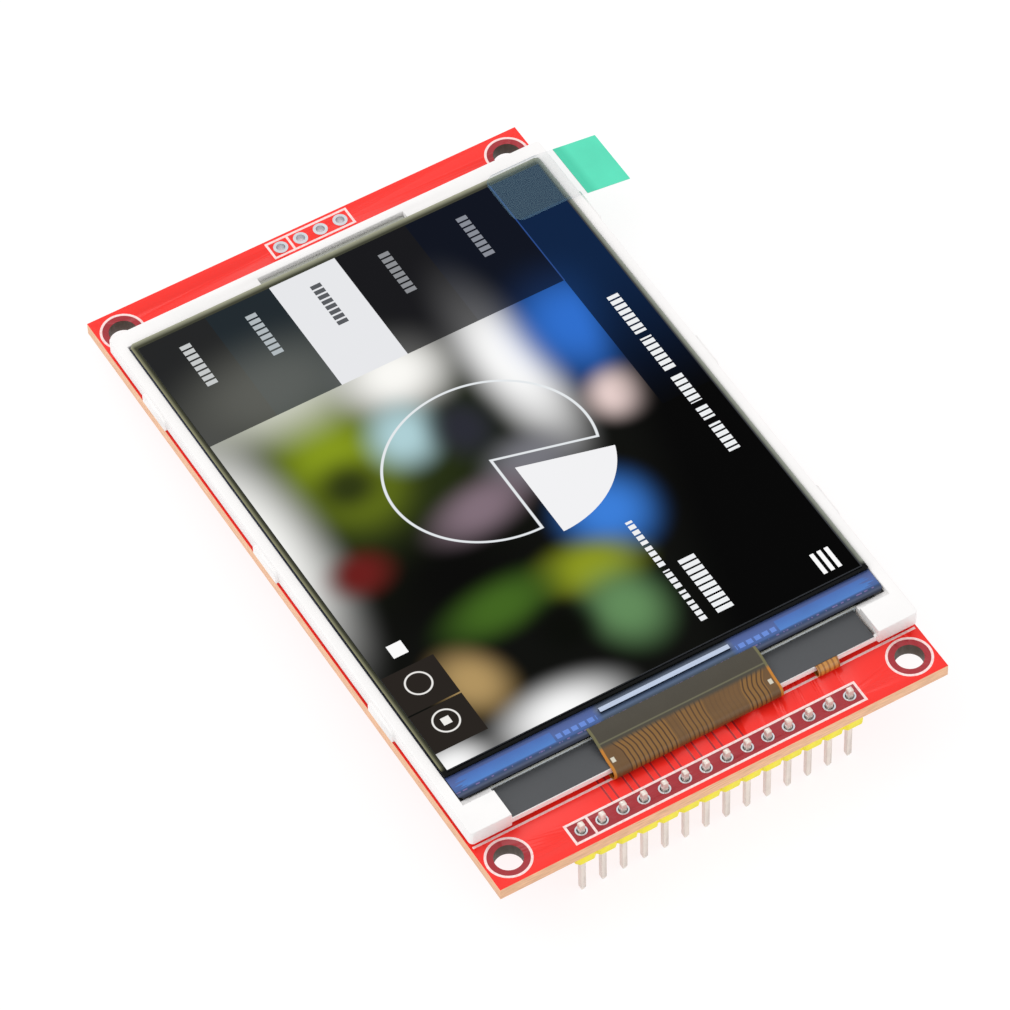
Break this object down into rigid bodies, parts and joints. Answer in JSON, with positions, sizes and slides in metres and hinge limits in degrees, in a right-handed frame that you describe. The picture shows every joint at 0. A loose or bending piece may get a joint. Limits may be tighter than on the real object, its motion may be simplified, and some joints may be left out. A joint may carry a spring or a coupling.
{
  "type": "tft display module",
  "caption": "Flat colour display: a backlit glass panel in a white frame taped to a red board, with header pins at one end and a memory card socket underneath.",
  "frame": {"origin": "centre of the rectangle of four mounting holes, on the board's underside", "axes": "+Z out of the board and through the screen, +Y along the long side away from the pin header, +X along the short side towards the memory card slot and the pull tab"},
  "size_m": [0.0616, 0.0892, 0.0139],
  "materials": {
    "red_solder_mask": "glossy red solder mask on a glass-fibre laminate",
    "white_ink": "thin white silkscreen ink that the red shows through",
    "tinned_copper": "bright tin plating",
    "gold_plated_copper": "satin gold plating",
    "yellow_header_plastic": "semi-gloss moulded plastic",
    "tinned_pin": "satin tin plating",
    "solder": "smooth satin solder",
    "dark_foam": "matte closed-cell foam tape",
    "white_frame_plastic": "smooth satin moulded plastic",
    "white_film": "satin white polyester film",
    "clear_acrylic": "clear polished acrylic with a fine dot pattern",
    "prism_film": "satin ribbed polyester film",
    "lamp_resin": "satin pale yellow resin",
    "amber_flexible_circuit": "glossy amber polyimide over copper",
    "dark_tape": "satin dark grey polyester tape",
    "lower_polarizer_film": "glossy grey film",
    "circuit_glass": "polished glass with blue thin-film circuits",
    "filter_glass": "polished glass with a dark filter layer",
    "screen": "glossy polarizer over a lit picture",
    "silicon": "ground silicon",
    "olive_flexible_circuit": "glossy olive brown polyimide over copper tracks",
    "clear_tab_film": "clear glossy film",
    "green_tab_film": "glossy green film",
    "black_plastic": "satin moulded plastic",
    "shell_steel": "satin stamped sheet steel",
    "package_resin": "matte black epoxy",
    "resistor_ceramic": "ceramic chip under black glaze",
    "capacitor_ceramic": "satin tan ceramic"
  },
  "bodies": {
    "root": {"circuit_board": "red_solder_mask", "front_print": "white_ink", "back_print": "white_ink", "front_tracks": "red_solder_mask", "header_barrels": "tinned_copper", "card_header_barrels": "tinned_copper", "header_insulator": "yellow_header_plastic", "header_pins": "tinned_pin", "solder_cones": "solder", "flex_pads": "gold_plated_copper", "backlight_pads": "gold_plated_copper", "foam_tape": "dark_foam", "backlight_frame": "white_frame_plastic", "reflector_film": "white_film", "light_guide": "clear_acrylic", "diffuser_film": "white_film", "lower_prism_film": "prism_film", "upper_prism_film": "prism_film", "lamps": "lamp_resin", "lamp_strip": "amber_flexible_circuit", "lamp_bay_tape": "dark_tape", "rim_tape": "dark_tape", "lower_polarizer": "lower_polarizer_film", "array_glass": "circuit_glass", "filter_glass": "filter_glass", "upper_polarizer": "screen", "driver_chip": "silicon", "display_flex": "olive_flexible_circuit", "pull_tab_strip": "clear_tab_film", "pull_tab_grip": "green_tab_film", "socket_body": "black_plastic", "socket_shell": "shell_steel", "socket_contacts": "gold_plated_copper", "voltage_regulator": "package_resin", "lamp_transistor": "package_resin", "package_leads": "tinned_copper", "resistor_bodies": "resistor_ceramic", "resistor_ends": "tinned_copper", "capacitor_bodies": "capacitor_ceramic", "capacitor_ends": "tinned_copper", "jumper_pads": "tinned_copper", "spare_chip_pads": "tinned_copper"}
  },
  "joints": []
}
